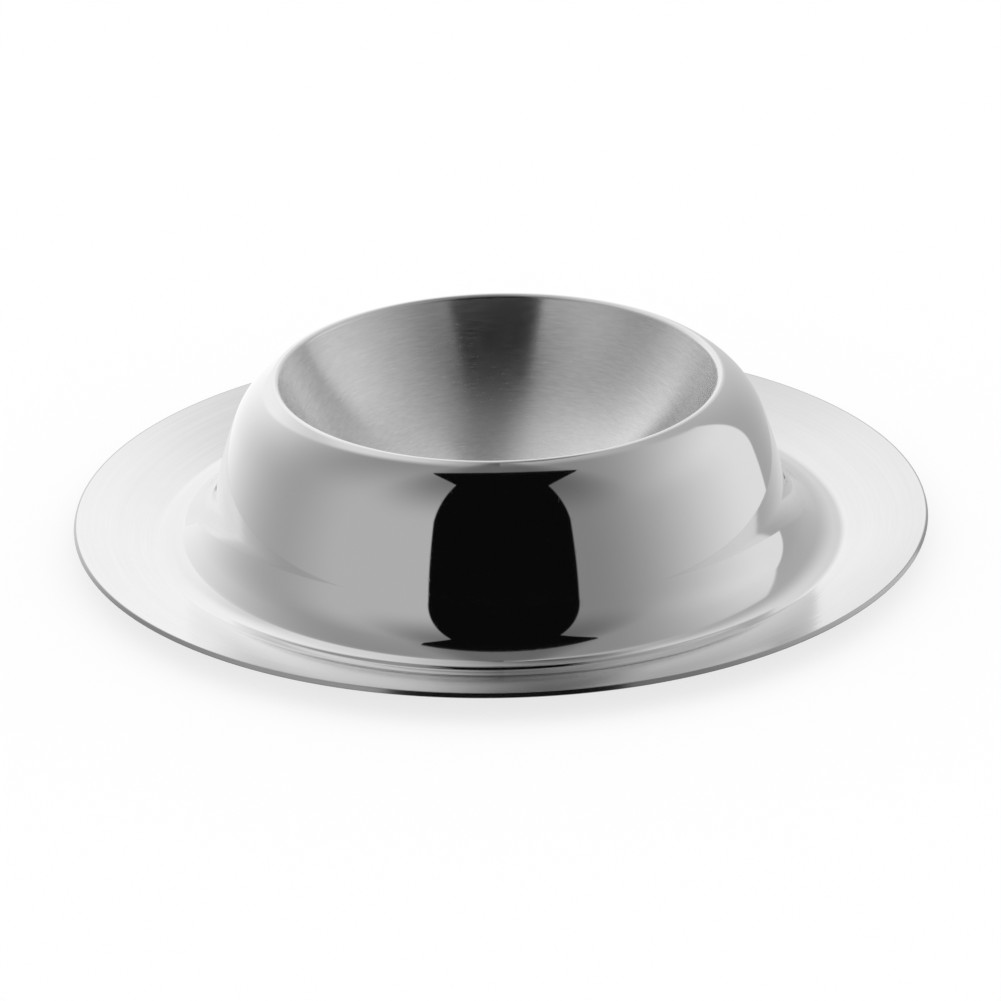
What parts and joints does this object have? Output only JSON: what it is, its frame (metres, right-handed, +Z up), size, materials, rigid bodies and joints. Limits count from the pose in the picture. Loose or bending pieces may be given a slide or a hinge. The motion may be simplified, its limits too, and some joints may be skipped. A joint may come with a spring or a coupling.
{
  "type": "egg cup",
  "caption": "Low steel egg cup: a spherical brushed well joined flush to a polished domed collar that runs through a foot ring into a wide dished saucer brim.",
  "frame": {"origin": "centre of the foot ring, on the surface that the cup stands on", "axes": "+Z up along the axis of revolution; X and Y are any two level directions, since the cup is round"},
  "size_m": [0.085, 0.085, 0.0168],
  "materials": {
    "polished_steel": "mirror-polished stainless steel, bare",
    "brushed_steel": "stainless steel brushed round the axis"
  },
  "bodies": {
    "root": {"outer_shell": "polished_steel", "egg_well": "brushed_steel"}
  },
  "joints": []
}
